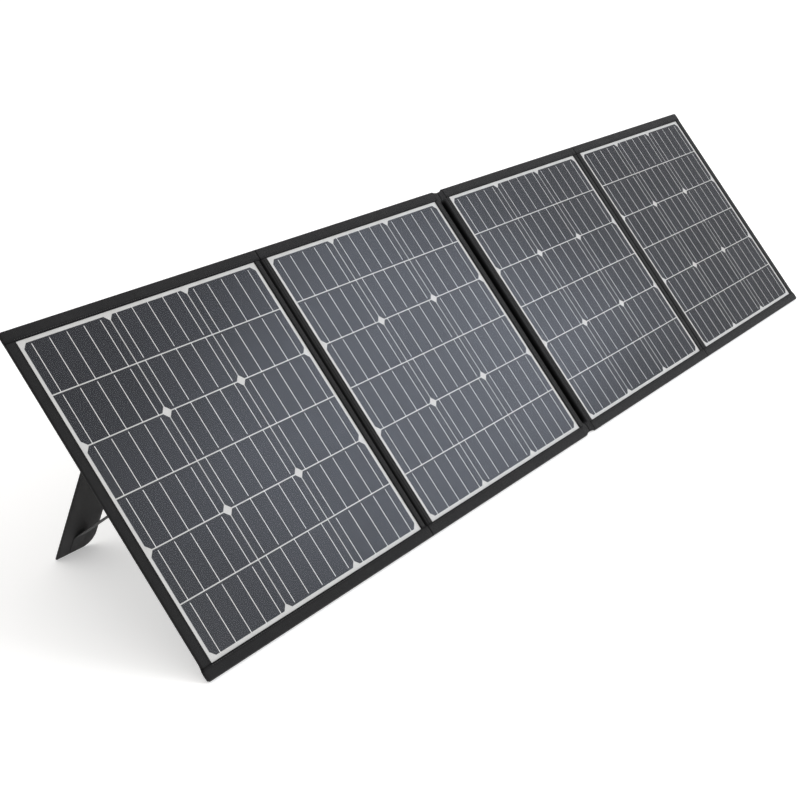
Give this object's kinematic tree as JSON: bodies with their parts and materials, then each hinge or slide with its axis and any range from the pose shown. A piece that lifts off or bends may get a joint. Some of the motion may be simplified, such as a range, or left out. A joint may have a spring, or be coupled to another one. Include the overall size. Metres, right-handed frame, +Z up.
{
  "type": "folding solar panel",
  "caption": "Folding solar blanket: rigid panels of half-cut cells in a black fabric cover, joined by fabric hinges and leaning on fold-out kickstands.",
  "frame": {"origin": "on the ground, in the middle of the open blanket's footprint", "axes": "+X along the row of panels, +Z up, panel fronts facing -Y and up"},
  "size_m": [2.0866, 0.4248, 0.4071],
  "materials": {
    "cover_fabric": "woven polyester oxford cloth, coated inside, matte black",
    "webbing": "ribbed black polypropylene webbing",
    "stiffener": "fibre reinforced board",
    "backsheet": "white laminate sheet, satin",
    "cells": "blue-black textured silicon under clear film",
    "ribbon": "tinned copper, satin",
    "front_film": "clear fluoropolymer film, satin",
    "lead_jacket": "black jacket",
    "grip_rubber": "matte moulded rubber",
    "box_plastic": "fine spark-textured black plastic",
    "gasket_rubber": "matte",
    "screw_steel": "stainless steel",
    "terminal_plastic": "moulded",
    "diode_epoxy": "epoxy",
    "zip_coil": "nylon coil on woven tape",
    "slider_metal": "black enamel"
  },
  "bodies": {
    "panel_2": {"panel_2_back_cover": "cover_fabric", "panel_2_board": "stiffener", "panel_2_backsheet": "backsheet", "panel_2_cells": "cells", "panel_2_ribbons": "ribbon", "panel_2_front_film": "front_film", "panel_2_front_border": "cover_fabric", "stand_2_strap": "webbing", "hinge_web_12": "cover_fabric", "hinge_web_23": "cover_fabric", "link_leads_12": "lead_jacket", "link_leads_23": "lead_jacket", "junction_box_base": "box_plastic", "junction_box_gasket": "gasket_rubber", "junction_box_lid": "box_plastic", "junction_box_screws": "screw_steel", "junction_box_terminals": "terminal_plastic", "bypass_diodes": "diode_epoxy", "cable_gland": "box_plastic", "pocket_fabric": "cover_fabric", "pocket_zip": "zip_coil"},
    "panel_1": {"panel_1_back_cover": "cover_fabric", "panel_1_board": "stiffener", "panel_1_backsheet": "backsheet", "panel_1_cells": "cells", "panel_1_ribbons": "ribbon", "panel_1_front_film": "front_film", "panel_1_front_border": "cover_fabric", "stand_1_strap": "webbing"},
    "panel_3": {"panel_3_back_cover": "cover_fabric", "panel_3_board": "stiffener", "panel_3_backsheet": "backsheet", "panel_3_cells": "cells", "panel_3_ribbons": "ribbon", "panel_3_front_film": "front_film", "panel_3_front_border": "cover_fabric", "stand_3_strap": "webbing", "hinge_web_34": "cover_fabric", "link_leads_34": "lead_jacket"},
    "panel_4": {"panel_4_back_cover": "cover_fabric", "panel_4_board": "stiffener", "panel_4_backsheet": "backsheet", "panel_4_cells": "cells", "panel_4_ribbons": "ribbon", "panel_4_front_film": "front_film", "panel_4_front_border": "cover_fabric", "stand_4_strap": "webbing"},
    "stand_1": {"stand_1_cover": "cover_fabric", "stand_1_board": "stiffener"},
    "stand_2": {"stand_2_cover": "cover_fabric", "stand_2_board": "stiffener"},
    "stand_3": {"stand_3_cover": "cover_fabric", "stand_3_board": "stiffener"},
    "stand_4": {"stand_4_cover": "cover_fabric", "stand_4_board": "stiffener"},
    "handle_2": {"handle_2_webbing": "webbing", "handle_2_grip": "grip_rubber"},
    "handle_3": {"handle_3_webbing": "webbing", "handle_3_grip": "grip_rubber"},
    "zip_slider": {"zip_slider": "slider_metal"}
  },
  "joints": [
    {"name": "fold_12", "type": "hinge", "parent": "panel_2", "child": "panel_1", "pos_m": [-0.5245, -0.04374, 0.20579], "axis": [0, 0.6428, 0.766], "range_deg": [0, 179.9], "deforming": ["hinge_web_12", "link_leads_12"]},
    {"name": "fold_23", "type": "hinge", "parent": "panel_2", "child": "panel_3", "pos_m": [0, -0.05194, 0.21266], "axis": [0, -0.6428, -0.766], "range_deg": [0, 179.9], "deforming": ["hinge_web_23", "link_leads_23"]},
    {"name": "fold_34", "type": "hinge", "parent": "panel_3", "child": "panel_4", "pos_m": [0.5245, -0.04374, 0.20579], "axis": [0, -0.6428, -0.766], "range_deg": [0, 179.9], "deforming": ["hinge_web_34", "link_leads_34"]},
    {"name": "stand_1_hinge", "type": "hinge", "parent": "panel_1", "child": "stand_1", "pos_m": [-0.8695, 0.06763, 0.32576], "axis": [-1, 0, 0], "range_deg": [0, 63.8], "deforming": ["stand_1_strap"]},
    {"name": "stand_2_hinge", "type": "hinge", "parent": "panel_2", "child": "stand_2", "pos_m": [-0.3535, 0.06763, 0.32576], "axis": [-1, 0, 0], "range_deg": [0, 63.8], "deforming": ["stand_2_strap"]},
    {"name": "stand_3_hinge", "type": "hinge", "parent": "panel_3", "child": "stand_3", "pos_m": [0.3535, 0.06763, 0.32576], "axis": [-1, 0, 0], "range_deg": [0, 63.8], "deforming": ["stand_3_strap"]},
    {"name": "stand_4_hinge", "type": "hinge", "parent": "panel_4", "child": "stand_4", "pos_m": [0.8695, 0.06763, 0.32576], "axis": [-1, 0, 0], "range_deg": [0, 63.8], "deforming": ["stand_4_strap"]},
    {"name": "handle_2_swing", "type": "hinge", "parent": "panel_2", "child": "handle_2", "pos_m": [-0.2665, 0.11391, 0.38092], "axis": [1, 0, 0], "range_deg": [-34, 138]},
    {"name": "handle_3_swing", "type": "hinge", "parent": "panel_3", "child": "handle_3", "pos_m": [0.2665, 0.11391, 0.38092], "axis": [1, 0, 0], "range_deg": [-34, 138]},
    {"name": "zip_slide", "type": "slide", "parent": "panel_2", "child": "zip_slider", "axis": [-1, 0, 0], "range_m": [0, 0.174]}
  ]
}
